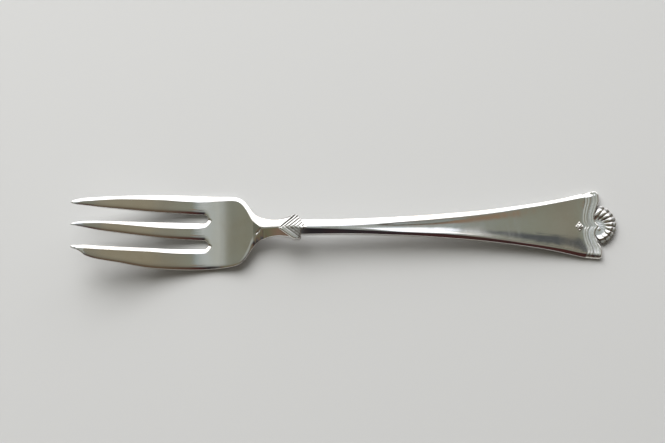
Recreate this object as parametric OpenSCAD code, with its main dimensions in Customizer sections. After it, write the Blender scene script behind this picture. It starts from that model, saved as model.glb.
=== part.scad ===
// Pastry fork, struck in one piece: three tines with a broad cutting tine, a bevelled head,
// a chevron collar, and a flaring handle that ends in a wave border and a scallop shell.
// Millimetres. +X runs from the tines to the shell, +Y to the plain outer tine, +Z up.
// The origin is on the table, at the middle of the length, on the centre line.

/* [Lengths along the fork] */
// Length from the tine tips to the end of the shell
fork_length = 150; // [135:1:165]
// Length of the tines, from their tips to the centres of the slots' round ends
tine_length = 35.4; // [28:0.2:42]
// Length of the level front of the head, behind the slots
head_front = 6.6; // [5:0.1:9]
// Length of the shoulders, from the level front of the head to the neck
shoulder_length = 9.6; // [7:0.1:12]
// Length of the neck on the centre line
neck_length = 5.3; // [4:0.1:7]
// Length of the collar on the centre line
collar_length = 6.7; // [5:0.1:8]
// Length of the roof-shaped stem on the centre line
stem_length = 11.4; // [8:0.1:15]
// Length of the wave border on the centre line
border_length = 4.1; // [3.2:0.1:5]
// Reach of the shell past the wave border
shell_reach = 5.1; // [4:0.1:6.2]

/* [Widths] */
// Width across the three tines
head_width = 21.6; // [18:0.1:26]
// Distance between the centre lines of the two slots
slot_pitch = 7.3; // [6:0.05:8.6]
// Distance of the slots' middle from the centre line, towards the outer tine
slot_offset = 0.22; // [0.1:0.02:0.4]
// Width of a slot at its round end
slot_width = 2.25; // [1.8:0.05:2.7]
// Width where the shoulders run into the neck
neck_root_width = 6.4; // [5.2:0.1:7.6]
// Narrowest width of the neck
neck_width = 4.7; // [3.9:0.1:5.6]
// Width across the arms of the collar
collar_width = 7.4; // [6.2:0.1:8.8]
// Width of the stem
stem_width = 4.7; // [4:0.1:5.7]
// Width of the handle where it meets the wave border
handle_end_width = 18.4; // [15:0.1:22]
// Widest part of the wave border
border_width = 19.3; // [16:0.1:23]
// Widest part of the shell
shell_width = 11.2; // [9.2:0.1:13.2]

/* [Metal] */
// Thickness of the edge at the tine tips
tip_wall = 0.8; // [0.6:0.05:1]
// Thickness of the edge of the head
head_wall = 1; // [0.8:0.05:1.2]
// Thickness of the edge of the stem
stem_wall = 1.7; // [1.3:0.05:2.1]
// Thickness of the edge at the handle's end
end_wall = 0.95; // [0.75:0.05:1.2]
// Depth worn flat under the head and under the handle's end
wear_depth = 0.08; // [0.05:0.01:0.1]

/* [Profile] */
// Height of the tine tips above the table
tip_lift = 11.6; // [9:0.1:14]
// Height of the arch under the neck
arch_height = 5.1; // [4:0.1:6.2]

/* [Bevels] */
// Width of the bevel round the head and the tines
bevel_width = 1.4; // [1.1:0.05:1.7]
// Width of the bevel at the handle's end
handle_bevel = 1.15; // [0.9:0.05:1.4]
// Half width of the blunt top of a ridge
ridge_land = 0.1; // [0.08:0.01:0.15]
// Depth of the hollow in the panels of the head and the handle
dish_depth = 0.3; // [0.15:0.05:0.4]
// Length of the facet between the head's panel and the ridge of the neck
hip_length = 3.4; // [2.6:0.1:4.2]

/* [Ornament] */
// Height of the collar over the stem
collar_proud = 0.5; // [0.35:0.05:0.65]
// Distance between the collar's ribs
rib_pitch = 1.35; // [1.1:0.05:1.7]
// Height of the collar's ribs
rib_height = 0.3; // [0.2:0.05:0.4]
// Sideways swing of the wave line
wave_swing = 1.3; // [1:0.05:1.6]
// Height of the wave border's ridges
ridge_height = 0.25; // [0.15:0.05:0.35]
// Swing of the wave border's outer end
end_swing = 0.75; // [0.55:0.05:0.95]
// Height of the shell's crown over the border
shell_crown = 0.45; // [0.3:0.05:0.6]
// Height of the shell's ribs
shell_rib_height = 0.5; // [0.3:0.05:0.6]
// Number of ribs in the shell
shell_ribs = 9; // [5:2:11]
// Length of the floret along the fork
floret_length = 2.3; // [1.8:0.1:2.8]
// Width of the floret
floret_width = 2.6; // [2:0.1:3.2]
// Gap between the floret and the point of the wave line
floret_gap = 0.85; // [0.7:0.05:1]
// Height of the floret over the panel
floret_height = 0.4; // [0.25:0.05:0.55]
// How far the ornament was struck off the centre line, towards the cutting tine
die_shift = 0.35; // [0.2:0.05:0.5]

/* [Hidden] */

// Places along the fork
tip_x = -fork_length / 2;
root_x = tip_x + tine_length;
belt_x = root_x + head_front;
neck_x = belt_x + shoulder_length;
hip_x = neck_x - hip_length;
collar_x = neck_x + neck_length;
stem_x = collar_x + collar_length;
opening_x = stem_x + stem_length;
base_x = fork_length / 2 - shell_reach;
border_x = base_x - border_length;
end_x = fork_length / 2;

// Half widths
head_half = head_width / 2;
neck_root_half = neck_root_width / 2;
neck_half = neck_width / 2;
collar_half = collar_width / 2;
stem_half = stem_width / 2;
handle_half = handle_end_width / 2;
border_half = border_width / 2;
slot_r = slot_width / 2;
upper_slot_y = slot_offset + slot_pitch / 2;
lower_slot_y = slot_offset - slot_pitch / 2;

// Rise of a bevel per millimetre of its width, and crown of the back per millimetre of edge
bevel_rise_share = 0.55;
back_crown_share = 0.2;
// Most depth of a panel's hollow, in shares of the panel's half width
dish_limit_share = 0.18;

// Where the collar's widest point lies along it
collar_tip_share = 0.66;
collar_tip_x = collar_x + collar_tip_share * collar_length;
chevron_slope = (collar_tip_x - collar_x) / collar_half;
trailing_slope = (stem_x - collar_tip_x) / collar_half;

// Line of the underside, in equal steps from the tips to the shell
lift_shares = [1, 0.79, 0.54, 0.3, 0.11, -0.02, 0, 0, 0, 0, 0, 0, 0, 0, 0, 0, 0, 0, 0, 0, 0];
arch_shares = [0, 0, 0, 0, 0, -0.06, 0.18, 0.72, 1, 0.97, 0.9, 0.845, 0.795, 0.735,
               0.65, 0.54, 0.43, 0.32, 0.18, -0.03, 0.03];
// Places that keep their share of that line when one length changes
profile_places = [[tip_x, 0], [root_x, 0.236], [neck_x, 0.344], [border_x, 0.94], [end_x, 1]];

// Head's outline: share of the way from the slots to the neck, share of the width gained
head_shares = [[0, 0.974], [0.1, 0.958], [0.22, 0.945], [0.35, 0.925], [0.47, 0.895],
               [0.53, 0.865], [0.59, 0.825], [0.65, 0.755], [0.715, 0.64], [0.78, 0.485],
               [0.84, 0.31], [0.9, 0.16], [0.96, 0.05], [1, 0]];
// Neck's outline: towards the shoulders, and towards the collar
neck_front_shares = [[0.06, 0.78], [0.15, 0.45], [0.26, 0.18], [0.37, 0.035], [0.47, 0]];
neck_back_shares = [[0.58, 0.08], [0.69, 0.24], [0.8, 0.43], [0.9, 0.7], [1, 1]];
// Width of the neck at the collar's tips, as a share of the collar's width
neck_flank_share = 0.96;
// Handle's outline: share of the way from the stem to the border, share of the width gained
flare_shares = [[0, 0], [0.09, 0.02], [0.18, 0.06], [0.27, 0.1], [0.36, 0.155], [0.45, 0.22],
                [0.55, 0.3], [0.64, 0.4], [0.73, 0.515], [0.82, 0.645], [0.91, 0.81], [1, 1]];
// Handle's bevel: share of the way from the collar to the border, share of the stem's bevel left
fade_shares = [[0, 1], [0.1, 0.78], [0.2, 0.62], [0.32, 0.43], [0.44, 0.28], [0.57, 0.15],
               [0.7, 0.06], [0.85, 0.01], [1, 0]];

// Edges of the tines: share of the way to the tip, shift outwards in shares of half the head
outer_out_shares = [[0, 0], [0.12, 0.012], [0.26, 0.011], [0.33, 0], [0.41, -0.025],
                    [0.52, -0.06], [0.63, -0.103], [0.78, -0.169], [0.9, -0.22],
                    [0.955, -0.259], [0.985, -0.294], [1, -0.325]];
outer_in_shares = [[0, 0], [0.1, 0.012], [0.26, 0.026], [0.41, 0.035], [0.63, 0.054],
                   [0.78, 0.066], [0.9, 0.095], [0.955, 0.108], [0.985, 0.13], [1, 0.15]];
middle_left_shares = [[0, 0], [0.1, 0], [0.26, -0.008], [0.41, -0.02], [0.63, -0.05],
                      [0.78, -0.07], [0.895, -0.09], [0.953, -0.118], [0.983, -0.147], [1, -0.17]];
middle_right_shares = [[0, 0], [0.1, -0.01], [0.26, -0.027], [0.41, -0.056], [0.63, -0.105],
                       [0.78, -0.143], [0.895, -0.2], [0.953, -0.235], [0.983, -0.247], [1, -0.255]];
cutting_in_shares = [[0, 0], [0.1, 0.002], [0.26, 0.016], [0.41, 0.02], [0.63, 0.032],
                     [0.78, 0.033], [0.89, 0.027], [0.95, 0.036], [0.98, 0.043], [1, 0.056]];
cutting_out_shares = [[0, 0], [0.12, 0.01], [0.26, 0.008], [0.41, -0.006], [0.52, -0.047],
                      [0.63, -0.1], [0.775, -0.155], [0.834, -0.19], [0.892, -0.255],
                      [0.922, -0.335], [0.951, -0.39], [0.98, -0.42], [1, -0.44]];
// Bevel of the tines: share of the way to the tip, share of the bevel's width
tine_bevel_shares = [[0, 1], [0.5, 1], [0.8, 0.75], [0.92, 0.6], [1, 0.3]];
// Most of a tine's width that one bevel takes
tine_bevel_limit_share = 0.46;
// Rows of the tines, closer together at the tip
tine_row_shares = [for (i = [0 : 24]) 1 - pow(1 - i / 24, 1.4)];

// Share of the border's half width where its outer end is straight, and that the shell takes
straight_share = 0.5;
shell_base_share = 0.46;
// Wave line and outer end of the border: share of the half width, share of the swing
wave_shares = [[0, 0.6], [0.07, 0.2], [0.15, 0.02], [0.25, 0], [0.42, 0.2], [0.6, 0.58],
               [0.72, 0.88], [0.8, 1], [0.9, 0.8], [1, 0.25]];
end_shares = [[0, 0], [straight_share, 0], [0.52, 0.02], [0.6, 0.5], [0.7, 0.96], [0.8, 1], [0.9, 0.82],
              [0.95, 0.55], [0.985, 0.1], [1, -0.4]];
// Ridges across the border: share of the way across, share of the ridge height
border_shares = [[0, 0], [0.06, 1], [0.13, 0.1], [0.19, 0], [0.25, 1], [0.32, 0.1], [0.38, 0.2],
                 [0.46, 1.1], [0.56, 1.3], [0.66, 0.8], [0.7, 0.1], [0.76, 0.7], [0.82, 0.2],
                 [0.9, 0.7], [0.96, 0.3], [1, -0.8]];
border_rows = 24;
// Lanes of the handle and the border: on the straight end, out to the crease, and on the bevel
crease_share = 1 - handle_bevel / handle_half;
middle_lane_shares = [0.07, 0.15, 0.25, 0.37, straight_share];
half_lane_shares = concat(middle_lane_shares,
    [for (k = [0.25, 0.5, 0.75, 1]) straight_share + k * (crease_share - straight_share)],
    [for (k = [0.4, 0.75, 0.92, 1]) crease_share + k * (1 - crease_share)]);
border_lane_shares = concat([for (i = [len(half_lane_shares) - 1 : -1 : 0]) half_lane_shares[i]],
                            [0], [for (s = half_lane_shares) -s]);
// Turn of the shell's outermost groove, from the centre line
shell_turn = 78;
shell_rows = 9;
shell_lanes_per_rib = 4;
// Crown of the shell from its base to its rim, in shares of the crown, and growth of its ribs
shell_crown_shares = [[0, 0], [0.15, 0.5], [0.35, 1], [0.65, 1], [0.82, 0.6], [0.93, -0.1], [1, -1.1]];
shell_rib_shares = [[0, 0], [0.2, 0.3], [0.45, 0.9], [0.7, 1], [0.9, 0.7], [1, 0.4]];
// Depth of the scallops in the shell's rim, as a share of its half width
scallop_share = 0.05;
// Floret's beads along each side, and its plinth as a share of its height
floret_beads = 3;
floret_plinth_share = 0.25;

// Places where a table's value is read along a smooth curve
function slot_of(table, t, i = 0) =
    i >= len(table) - 2 || t < table[i + 1][0] ? i : slot_of(table, t, i + 1);
function slope_at(table, i) =
    let (a = table[max(i - 1, 0)], b = table[min(i + 1, len(table) - 1)])
    (b[1] - a[1]) / (b[0] - a[0]);
function curve(table, t) =
    let (i = slot_of(table, t), a = table[i], b = table[i + 1], w = b[0] - a[0])
    let (s = min(max((t - a[0]) / w, 0), 1), s2 = s * s, s3 = s2 * s)
    (2 * s3 - 3 * s2 + 1) * a[1] + (s3 - 2 * s2 + s) * w * slope_at(table, i)
    + (3 * s2 - 2 * s3) * b[1] + (s3 - s2) * w * slope_at(table, i + 1);

// Uniform cubic B-spline over equal steps, which meets its first and last value
function spline(values, t) =
    let (n = len(values) - 1, u = min(max(t, 0), 1) * n, i = min(floor(u), n - 1), f = u - i)
    let (b = values[i], c = values[i + 1])
    let (a = i > 0 ? values[i - 1] : 2 * b - c, d = i < n - 1 ? values[i + 2] : 2 * c - b)
    (pow(1 - f, 3) * a + (3 * pow(f, 3) - 6 * f * f + 4) * b
     + (3 * f * f + 3 * f + 1 - 3 * pow(f, 3)) * c + pow(f, 3) * d) / 6;

function mix(a, b, t) = a + (b - a) * t;

// Outlines in millimetres, made from the tables of shares
head_outline = [for (p = head_shares)
    [mix(root_x, neck_x, p[0]), mix(neck_root_half, head_half, p[1])]];
neck_outline = concat(
    [for (p = neck_front_shares)
        [mix(neck_x, collar_tip_x, p[0]), mix(neck_half, neck_root_half, p[1])]],
    [for (p = neck_back_shares)
        [mix(neck_x, collar_tip_x, p[0]), mix(neck_half, neck_flank_share * collar_half, p[1])]]);
front_outline = concat(head_outline, neck_outline);
back_outline = concat(
    [[collar_tip_x, stem_half]],
    [for (p = flare_shares)
        [mix(opening_x, border_x, p[0]), mix(stem_half, handle_half, p[1])]],
    [[base_x, border_half]]);
function outline_at(x) = x < collar_tip_x ? front_outline : back_outline;
function half(x) = curve(outline_at(x), x);

// How far the outline's slant narrows a distance that is measured across the fork
slant_step = bevel_width / 10;
function slant(x) =
    let (table = outline_at(x), a = curve(table, x - slant_step), b = curve(table, x + slant_step))
    let (s = (b - a) / (2 * slant_step))
    1 / sqrt(1 + s * s);

// Thickness of the edge, crown of the back and height of the underside
wall_places = [[tip_x, tip_wall], [root_x, head_wall], [belt_x, head_wall], [collar_x, stem_wall],
               [opening_x, stem_wall], [border_x, end_wall], [end_x, end_wall]];
function wall(x) = curve(wall_places, x);
function crown(x) = back_crown_share * wall(x);
function underside(x) =
    let (t = lookup(x, profile_places))
    tip_lift * spline(lift_shares, t) + arch_height * spline(arch_shares, t);
function edge_top(x) = underside(x) + crown(x) + wall(x);
function back(x, side) = underside(x) - wear_depth + crown(x) * side * side;

// Width of the bevel, out to the ridge on the neck and the stem
function roof(x) = half(x) - ridge_land;
function bevel(x) =
    x < hip_x ? bevel_width
    : x < neck_x ? mix(bevel_width, roof(neck_x), (x - hip_x) / hip_length)
    : x < stem_x ? roof(x)
    : let (t = (x - stem_x) / (border_x - stem_x))
      min(roof(x), mix(handle_bevel, roof(stem_x), t < 1 ? curve(fade_shares, t) : 0));

// Top of the metal at a distance in from the nearest edge
function front(x, inset) = edge_top(x) + bevel_rise_share * min(max(inset, 0), bevel(x));
function inset_at(x, y) = (half(x) - abs(y)) * slant(x);
function crease_y(x) = max(ridge_land, half(x) - bevel(x) / slant(x));

// Hollow of a panel, deepest on the centre line, which runs out at the creases and at the slots
function dish(x, y) =
    let (p = crease_y(x), fade = min(max((x - belt_x) / (hip_x - belt_x), 0), 1))
    fade * min(dish_depth, dish_limit_share * p) * max(0, 1 - pow(y / p, 2));
function panel(x, y) = front(x, inset_at(x, y)) - dish(x, y);

// Closed solid from rows of lanes of points [x, y, underside, top]
module slab(rows) {
    n = len(rows[0]);
    last = len(rows) - 1;
    tops = [for (row = rows) for (p = row) [p[0], p[1], p[3]]];
    lows = [for (row = rows) for (p = row) [p[0], p[1], p[2]]];
    low = len(tops);
    function at(i, j) = i * n + j;
    function strip(a, b) = [[a, b, b + low], [a, b + low, a + low]];
    sheets = [for (i = [0 : last - 1]) for (j = [0 : n - 2])
        let (a = at(i, j), b = at(i + 1, j), c = at(i + 1, j + 1), d = at(i, j + 1))
        each [[a, c, b], [a, d, c], [a + low, b + low, c + low], [a + low, c + low, d + low]]];
    sides = [for (i = [0 : last - 1])
        each concat(strip(at(i, 0), at(i + 1, 0)), strip(at(i + 1, n - 1), at(i, n - 1)))];
    ends = [for (j = [0 : n - 2])
        each concat(strip(at(0, j + 1), at(0, j)), strip(at(last, j), at(last, j + 1)))];
    polyhedron(points = concat(tops, lows), faces = concat(sheets, sides, ends), convexity = 8);
}

// Metal above the table, where what lay under it is worn flat
module worn() {
    difference() {
        children();
        translate([-fork_length, -fork_length, -fork_length])
            cube([2 * fork_length, 2 * fork_length, fork_length]);
    }
}

// One tine between a right and a left edge, each given at the root with its table of shifts
module tine(right, right_shares, left, left_shares) {
    worn() slab([for (t = tine_row_shares)
        let (x = mix(root_x, tip_x, t))
        let (a = right + sign(right) * head_half * curve(right_shares, t))
        let (b = left + sign(left) * head_half * curve(left_shares, t))
        let (w = min(bevel_width * curve(tine_bevel_shares, t), tine_bevel_limit_share * (b - a)))
        [for (y = [b, b - w / 2, b - w, (a + b) / 2, a + w, a + w / 2, a])
            let (inset = min(y - a, b - y, w), side = 2 * (y - (a + b) / 2) / (b - a))
            [x, y, back(x, side), edge_top(x) + bevel_rise_share * inset]]]);
}

root_half = half(root_x);

module outer_tine() {
    color("silver") tine(upper_slot_y + slot_r, outer_in_shares, root_half, outer_out_shares);
}

module middle_tine() {
    color("silver")
        tine(lower_slot_y + slot_r, middle_right_shares, upper_slot_y - slot_r, middle_left_shares);
}

module cutting_tine() {
    color("silver") tine(-root_half, cutting_out_shares, lower_slot_y - slot_r, cutting_in_shares);
}

// Level front of the head, with a round bevelled end to each slot
module head() {
    reach = slot_r + bevel_width;
    arc = [for (a = [0 : 22.5 : 180]) slot_r * cos(a)];
    slot_lanes = concat([reach, slot_r + bevel_width / 2], arc, [-slot_r - bevel_width / 2, -reach]);
    rim_lanes = [root_half, root_half - bevel_width / 2, root_half - bevel_width];
    lanes = concat(rim_lanes, [for (y = slot_lanes) upper_slot_y + y], [slot_offset],
                   [for (y = slot_lanes) lower_slot_y + y], [for (i = [2, 1, 0]) -rim_lanes[i]]);
    function from_slot(y) = min(abs(y - upper_slot_y), abs(y - lower_slot_y));
    function mouth(y) = root_x + sqrt(max(0, slot_r * slot_r - from_slot(y) * from_slot(y)));
    function crease(y) =
        max(mouth(y) + slant_step, root_x + sqrt(max(0, reach * reach - from_slot(y) * from_slot(y))));
    function place(y, k) =
        k < 3 ? mix(mouth(y), crease(y), k / 3) : mix(crease(y), belt_x, (k - 3) / 4);
    color("silver") worn() slab([for (k = [7 : -1 : 0])
        [for (y0 = lanes)
            let (x = place(y0, k), y = y0 * half(x) / root_half)
            let (notch = norm([x - root_x, from_slot(y)]) - slot_r)
            [x, y, back(x, y / half(x)), front(x, min(inset_at(x, y), notch))]]]);
}

// Lanes across a bevelled stretch: edges, creases and panel
function stretch_row(x) =
    let (w = half(x), p = crease_y(x))
    [for (y = [w, (w + p) / 2, p, p / 2, 0, -p / 2, -p, -(w + p) / 2, -w])
        [x, y, back(x, y / w), panel(x, y)]];

module shoulder() {
    steps = 16;
    color("silver") worn() slab([for (i = [steps : -1 : 0]) stretch_row(mix(belt_x, neck_x, i / steps))]);
}

// Neck, which ends along the chevron of the collar's front
module neck() {
    steps = 12;
    color("silver") slab([for (i = [steps : -1 : 0])
        let (t = i / steps, w0 = curve(front_outline, mix(neck_x, collar_tip_x, t)))
        [for (s = [1, 0.5, ridge_land / neck_half, 0, -ridge_land / neck_half, -0.5, -1])
            let (y = s * w0, x = mix(neck_x, collar_x + chevron_slope * abs(y), t))
            [x, y, back(x, y / half(x)), panel(x, y)]]]);
}

// Collar, a lozenge of chevron ribs that stands proud of the neck and the stem
module collar() {
    steps = 30;
    blunt_share = ridge_land / collar_half;
    function fall(y) = max(stem_half - max(abs(y), ridge_land), -collar_half / 8);
    function rib(u) = rib_height * (cos(360 * u / rib_pitch) - 1) / 2;
    color("silver") slab([for (i = [steps : -1 : 0])
        let (t = i / steps * (1 - blunt_share), u = t * collar_length, w = collar_half * (1 - t))
        [for (s = [1, 0.67, 0.33, 0, -0.33, -0.67, -1])
            let (y = s * w, x = collar_x + u + chevron_slope * abs(y))
            let (low = back(x, y / collar_half) - rib_height - rib(u))
            [x, y, low, edge_top(x) + bevel_rise_share * fall(y) + collar_proud + rib(u)]]]);
}

// Stem, which starts along the trailing edges of the collar
module stem() {
    steps = 8;
    crease = crease_y(opening_x);
    half_lanes = [[stem_half, stem_half], [(stem_half + ridge_land) / 2, (stem_half + crease) / 2],
                  [ridge_land, crease]];
    lanes = concat(half_lanes, [[0, 0]], [for (i = [2, 1, 0]) -half_lanes[i]]);
    color("silver") slab([for (i = [steps : -1 : 0])
        let (t = i / steps)
        [for (lane = lanes)
            let (y = mix(lane[0], lane[1], t))
            let (x = mix(stem_x - trailing_slope * abs(lane[0]), opening_x, t))
            [x, y, back(x, y / stem_half), panel(x, y)]]]);
}

// Lines of the ornament: place along the fork and across it, at a share of the half width
function wave_x(s) = border_x + wave_swing * curve(wave_shares, abs(s));
function rim_x(s) = base_x + end_swing * curve(end_shares, abs(s));
function struck(s) = die_shift * max(0, 1 - pow(s / crease_share, 2));

// Where a lane crosses the handle, bending with the crease of its bevel
function lane_y(x, s) =
    let (w = half(x), p = crease_y(x), a = abs(s))
    sign(s) * (a < crease_share ? p * a / crease_share
               : mix(p, w, (a - crease_share) / (1 - crease_share)));

// Handle, whose panel widens from the stem and ends along the wave line
module handle() {
    steps = 26;
    color("silver") worn() slab([for (i = [steps : -1 : 0])
        let (t = i / steps)
        [for (s = border_lane_shares)
            let (x = mix(opening_x, wave_x(s), t), y = lane_y(x, s) - t * struck(s))
            [x, y, back(x, y / half(x)), panel(x, y)]]]);
}

module wave_border() {
    color("silver") worn() slab([for (i = [border_rows : -1 : 0])
        let (t = i / border_rows)
        [for (s = border_lane_shares)
            let (x = mix(wave_x(s), rim_x(s), t))
            let (y = mix(lane_y(wave_x(s), s), s * border_half, t) - struck(s))
            [x, y, back(x, y / half(x)), panel(x, y) + ridge_height * curve(border_shares, t)]]]);
}

module shell() {
    lanes = shell_ribs * shell_lanes_per_rib;
    reach = shell_width / 2;
    base_half = shell_base_share * border_half;
    color("silver") worn() slab([for (i = [shell_rows : -1 : 0])
        let (t = i / shell_rows)
        [for (j = [0 : lanes])
            let (s = 1 - 2 * j / lanes, a = s * shell_turn)
            let (rib = pow(sin(180 * j / shell_lanes_per_rib), 2))
            let (r = reach * (1 - scallop_share * (1 - rib)))
            let (x = mix(base_x, end_x - reach + r * cos(a), t))
            let (y = mix(s * abs(s) * base_half, r * sin(a), t))
            let (crown = shell_crown * curve(shell_crown_shares, t))
            let (swell = shell_rib_height * rib * curve(shell_rib_shares, t))
            [x, y, back(x, norm([y / border_half, t])), edge_top(x) + crown + swell]]]);
}

// Floret, a lozenge of beads on the handle's panel
module floret() {
    cx = wave_x(0) - floret_gap - floret_length / 2;
    steps = 4 * floret_beads;
    seat = ridge_land / 10;
    function bead(p) = pow(sin(180 * floret_beads * p), 2);
    color("silver") slab([for (i = [steps : -1 : 0])
        [for (j = [0 : steps])
            let (p = i / steps, q = 1 - j / steps, rise = mix(floret_plinth_share, 1, bead(p) * bead(q)))
            let (x = cx + (p - q) * floret_length / 2, y = (p + q - 1) * floret_width / 2 - die_shift)
            [x, y, panel(x, y) + seat, panel(x, y) + seat + floret_height * rise]]]);
}

outer_tine();
middle_tine();
cutting_tine();
head();
shoulder();
neck();
collar();
stem();
handle();
floret();
wave_border();
shell();
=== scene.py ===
# Pastry fork in polished silver: bevelled tines and head, chevron collar, flaring handle,
# wave border and scallop shell. Lengths are millimetres here and become metres in each mesh.
import math
import bpy
import numpy as np
from mathutils import Matrix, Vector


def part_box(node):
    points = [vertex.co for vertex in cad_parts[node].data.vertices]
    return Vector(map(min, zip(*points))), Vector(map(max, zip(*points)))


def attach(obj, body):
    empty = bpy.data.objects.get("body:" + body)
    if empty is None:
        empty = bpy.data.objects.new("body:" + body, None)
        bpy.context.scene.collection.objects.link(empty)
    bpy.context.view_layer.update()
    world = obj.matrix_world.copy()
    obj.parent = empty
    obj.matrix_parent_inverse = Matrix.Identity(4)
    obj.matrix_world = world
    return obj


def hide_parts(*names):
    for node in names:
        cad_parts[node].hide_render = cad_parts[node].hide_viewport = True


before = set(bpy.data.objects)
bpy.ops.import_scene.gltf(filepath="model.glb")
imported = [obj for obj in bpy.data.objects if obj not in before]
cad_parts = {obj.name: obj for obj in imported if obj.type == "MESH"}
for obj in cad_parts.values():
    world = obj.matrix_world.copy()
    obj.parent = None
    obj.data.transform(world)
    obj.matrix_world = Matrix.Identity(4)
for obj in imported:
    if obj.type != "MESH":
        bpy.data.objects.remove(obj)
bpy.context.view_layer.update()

mm = 0.001
print("frame loaded:", len(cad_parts), "nodes")


def low(node):
    # lowest corner of a node's box, in mm
    return np.array(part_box(node)[0]) / mm


def high(node):
    # highest corner of a node's box, in mm
    return np.array(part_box(node)[1]) / mm


# Places along the fork, read from the frame
tipX = low("middle_tine")[0]
rootX = low("head")[0]
beltX = high("head")[0]
neckX = high("shoulder")[0]
collarX = low("collar")[0]
openingX = high("stem")[0]
baseX = low("shell")[0]
endX = high("shell")[0]

# Outline, seen from above
outline = {
    "headWidth": 21.6, "neckRootWidth": 6.4, "neckWidth": 4.7, "collarWidth": 7.4,
    "stemWidth": 4.7, "handleWidth": 18.4, "borderWidth": 19.3,
    "collarLength": 6.7, "collarTip": 0.66, "neckFlank": 0.96, "borderLength": 4.1,
    "slotPitch": 7.3, "slotOffset": 0.22, "slotWidth": 2.25,
    # share of the way from the slots to the neck, share of the width gained
    "head": [[0, 0.974], [0.1, 0.958], [0.22, 0.945], [0.35, 0.925], [0.47, 0.9], [0.53, 0.878],
             [0.59, 0.845], [0.65, 0.78], [0.715, 0.66], [0.78, 0.48], [0.84, 0.285],
             [0.9, 0.135], [0.96, 0.045], [1, 0]],
    "neckFront": [[0.06, 0.78], [0.15, 0.45], [0.26, 0.18], [0.37, 0.035], [0.47, 0]],
    "neckBack": [[0.58, 0.08], [0.69, 0.24], [0.8, 0.43], [0.9, 0.7], [1, 1]],
    "flare": [[0, 0], [0.09, 0.02], [0.18, 0.06], [0.27, 0.1], [0.36, 0.155], [0.45, 0.22],
              [0.55, 0.3], [0.64, 0.4], [0.73, 0.515], [0.82, 0.645], [0.91, 0.81], [1, 1]],
    # how much the far edge, towards +Y, lies inside the near one, by place along the fork
    "trim": [[-23, 0], [-18, 0.08], [-11, 0.33], [-5, 0.36], [4, 0.24], [12, 0.28], [58, 0.26],
             [64, 0.2], [68, 0.02], [75, 0]],
}

# Profile, seen from the side: heights in equal steps from the tips to the shell
profile = {
    "tipLift": 11.6, "archHeight": 5.1, "wear": 0.08,
    "lift": [1, 0.79, 0.53, 0.27, 0.088, -0.02] + [0] * 15,
    "arch": [0, 0, 0, 0, 0, -0.06, 0.18, 0.72, 1, 0.97, 0.9, 0.845, 0.795, 0.735,
             0.65, 0.54, 0.43, 0.32, 0.18, -0.03, 0.03],
    "shares": [0, 0.236, 0.344, 0.94, 1],
    "tipWall": 0.8, "headWall": 1.0, "stemWall": 1.7, "endWall": 0.95, "crown": 0.2,
}

# Bevels, hollows and the softness that polishing gives to edges. The far bevels, towards +Y, are
# broad and crisp, and the near ones are narrow rolls.
edge = {
    "bevel": 1.4, "handleBevel": 1.15, "rise": 0.55, "nearRise": 0.62, "land": 0.1, "hip": 2.3,
    # share of the handle's bevel that is still the stem's ridge, by share of the way to the border
    "fade": [[0, 1], [0.1, 0.78], [0.2, 0.62], [0.32, 0.43], [0.44, 0.28], [0.57, 0.15],
             [0.7, 0.06], [0.85, 0.01], [1, 0]],
    # widths of the bevels round the head, by place along the fork
    "farWidth": [[-40, 1.72], [-38.5, 1.62], [-37, 1.53], [-34.5, 1.37], [-31, 1.18], [-27.8, 1.25],
                 [-26.6, 1.4], [-25.3, 1.9], [-23.4, 2.9], [-22, 3.6]],
    "nearWidth": [[-40, 0.7], [-33, 0.5], [-29, 0.5], [-27.9, 0.62], [-26.7, 0.88], [-26.1, 1.2],
                  [-25.7, 1.42], [-25, 1.74], [-24.5, 2.085], [-24, 2.4], [-23.5, 2.68],
                  [-23, 2.93], [-22, 3.6]],
    # sideways places of the two creases on the neck, stem and handle
    "farCrease": [[-24, 0.05], [-19, -0.1], [-12, -0.12], [-6, 0], [-1.6, 0.08], [4, 0.2], [10, 0.42],
                  [15, 0.74], [19, 1.03], [23, 1.33], [27, 1.72], [31.6, 2.16], [37, 2.8], [43, 3.62],
                  [48, 4.42], [54, 5.36], [60, 6.5], [66, 7.75], [75, 9.2]],
    "nearCrease": [[-24, -0.1], [-19, -0.18], [-12, -0.75], [-6, -0.98], [-1.6, -1.18], [4, -1.46],
                   [10, -1.8], [15, -2.06], [19, -2.26], [23, -2.47], [27, -2.7], [31.6, -3.08],
                   [37, -3.64], [43, -4.4], [48, -5.14], [54, -6.0], [60, -7.0], [66, -8.2], [75, -9.4]],
    "farSoft": 0.4, "nearSoft": [[-25, 0.8], [-20, 0.6], [10, 0.45], [75, 0.45]], "creaseSoft": 0.3,
    # slope of the hollow panel at its creases, by place along the fork
    "hollow": [[-36, 0], [-32, 0.008], [-29, 0.014], [-26.5, 0.01], [-25, 0], [0, 0], [8, 0.17],
               [15, 0.33], [23, 0.31], [31, 0.21], [37, 0.155], [43, 0.135], [54, 0.12], [64, 0.115],
               [68, 0.08], [75, 0.04]],
    # small hollow where the head's panel runs out at the neck
    "dimple": {"x": -24.3, "y": -0.95, "turn": 42, "length": 1.4, "width": 0.45, "depth": 0.38},
    # the near bevel's height is evened out along the fork, over this length and this far down the
    # bevel, and the evening stops over this stretch behind the neck's start
    "evenOver": 0.4, "evenWithin": 0.5, "evenStop": (2, 1),
    # radii of the edges, of which none takes more than its share of the wall, and the direction over
    # which a far edge turns into a near one
    "topRound": 0.26, "nearRound": 0.12, "backRound": 0.34, "wallShare": 0.45, "ridgeSoft": 0.14,
    "roundTurn": (-0.5, 0.5),
    # steps along which slopes are measured, and how far inside a crisp end the shading is taken
    "slantStep": 0.5, "slopeStep": 0.01, "crispEnd": 0.011,
}


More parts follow.
